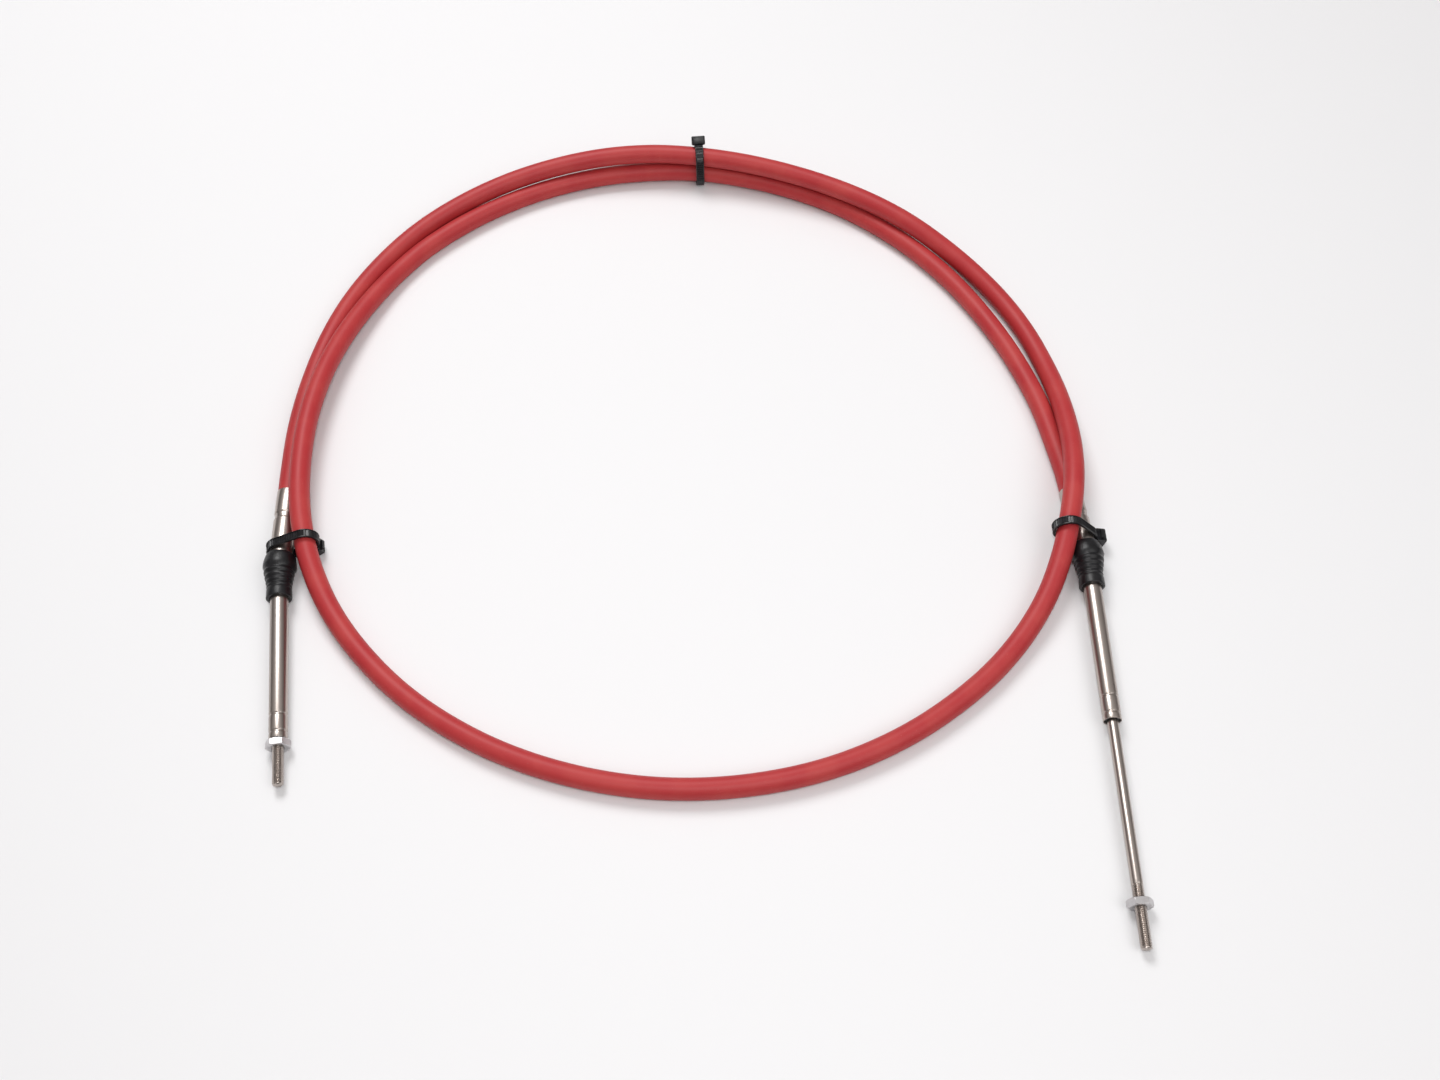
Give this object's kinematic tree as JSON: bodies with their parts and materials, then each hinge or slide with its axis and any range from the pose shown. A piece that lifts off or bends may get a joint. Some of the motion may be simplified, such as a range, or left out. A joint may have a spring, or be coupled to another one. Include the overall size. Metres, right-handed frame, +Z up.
{
  "type": "push-pull control cable",
  "caption": "Coiled marine push-pull control cable with a red jacket, swivelling steel end fittings, sliding threaded rods and black cable ties",
  "frame": {"origin": "middle of the bounding box, on the surface that the coil lies on", "axes": "+Z up, -Y the way both end fittings point, +X towards the fitting whose rod is out"},
  "size_m": [0.3794, 0.4278, 0.026],
  "materials": {
    "jacket": "satin red plastic, extruded smooth",
    "hub": "drawn stainless, crimped",
    "sleeve": "polished drawn stainless",
    "rod": "polished stainless with a rolled thread",
    "nut": "bright plated",
    "boot": "moulded black rubber",
    "wiper": "moulded black rubber",
    "tie": "moulded black nylon, serrated strap"
  },
  "bodies": {
    "root": {"cable_jacket": "jacket", "left_hub": "hub", "right_hub": "hub", "left_boot": "boot", "right_boot": "boot", "top_tie": "tie", "left_tie": "tie", "right_tie": "tie"},
    "left_support": {"left_sleeve": "sleeve", "left_wiper": "wiper"},
    "left_slider": {"left_rod": "rod", "left_nut": "nut"},
    "right_support": {"right_sleeve": "sleeve", "right_wiper": "wiper"},
    "right_slider": {"right_rod": "rod", "right_nut": "nut"}
  },
  "joints": [
    {"name": "left_swivel", "type": "hinge", "parent": "root", "child": "left_support", "pos_m": [-0.18142, -0.0427, 0.00729], "axis": [0, 0, 1], "range_deg": [-12.4, 3.6], "deforming": ["left_boot"]},
    {"name": "left_rod_slide", "type": "slide", "parent": "left_support", "child": "left_slider", "axis": [0.1339, -0.9906, -0.0286], "range_m": [0, 0.0762]},
    {"name": "right_swivel", "type": "hinge", "parent": "root", "child": "right_support", "pos_m": [0.1803, -0.0366, 0.0073], "axis": [0, 0, 1], "range_deg": [-3, 13], "deforming": ["right_boot"]},
    {"name": "right_rod_slide", "type": "slide", "parent": "right_support", "child": "right_slider", "axis": [0.0087, -0.9998, -0.0154], "range_m": [-0.0762, 0]}
  ],
  "couplings": [
    {"joint": "left_rod_slide", "follows": "right_rod_slide", "ratio": -1}
  ]
}
